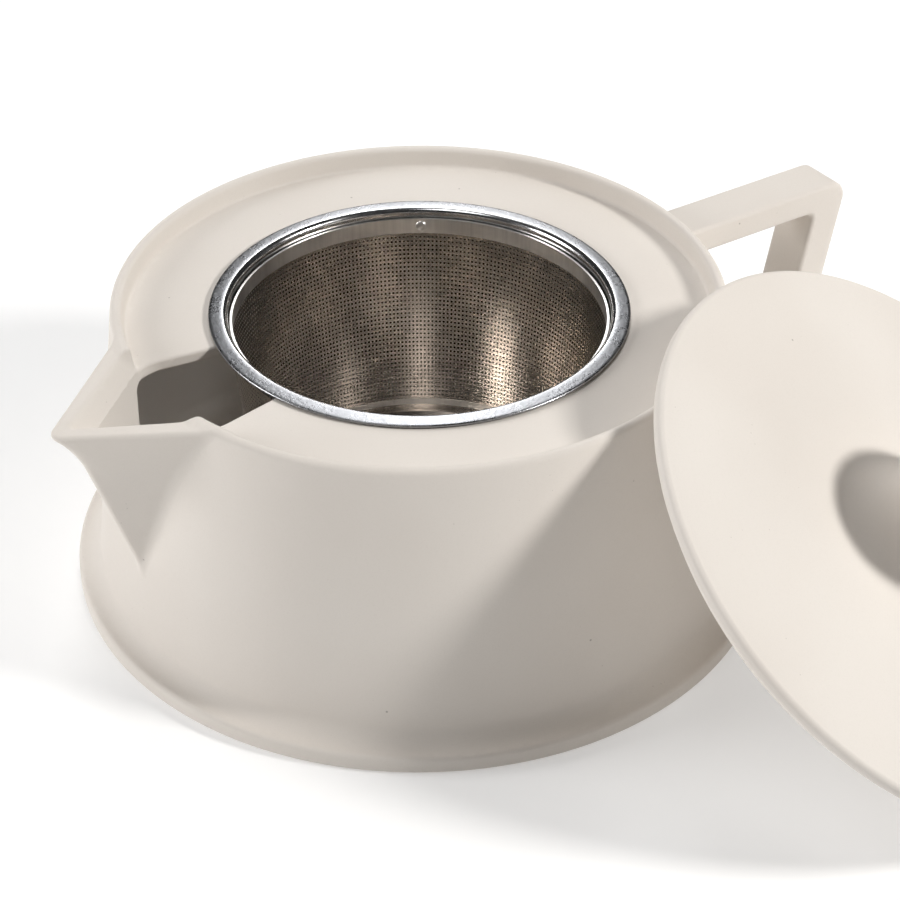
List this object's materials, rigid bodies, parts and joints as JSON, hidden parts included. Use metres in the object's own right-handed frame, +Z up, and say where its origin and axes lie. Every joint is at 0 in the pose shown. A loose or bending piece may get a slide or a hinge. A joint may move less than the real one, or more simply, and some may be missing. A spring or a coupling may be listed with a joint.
{
  "type": "teapot with infuser",
  "caption": "Low conical stoneware teapot with a V spout, a squared loop handle, a lift-out perforated steel infuser and a round lid leaning on its rim.",
  "frame": {"origin": "centre of the pot's foot, on the table", "axes": "+Z up, -X towards the spout, +X towards the handle"},
  "size_m": [0.2185, 0.2451, 0.0832],
  "materials": {
    "stoneware": "unglazed fine matt",
    "rim_steel": "satin with a bright inner lip",
    "mesh_steel": "fine round perforations"
  },
  "bodies": {
    "pot": {"pot_body": "stoneware", "spout": "stoneware", "handle": "stoneware"},
    "infuser": {"infuser_rim": "rim_steel", "infuser_collar": "rim_steel", "infuser_wall": "mesh_steel", "infuser_floor": "mesh_steel", "infuser_base_hoop": "rim_steel"},
    "lid": {"lid_plate": "stoneware", "lid_knob": "stoneware"}
  },
  "joints": [
    {"name": "infuser_lift", "type": "slide", "parent": "pot", "child": "infuser", "axis": [0, 0, 1], "range_m": [0, 0.07]},
    {"name": "lid_lift", "type": "slide", "parent": "pot", "child": "lid", "axis": [0, 0, 1], "range_m": [0, 0.08]}
  ]
}
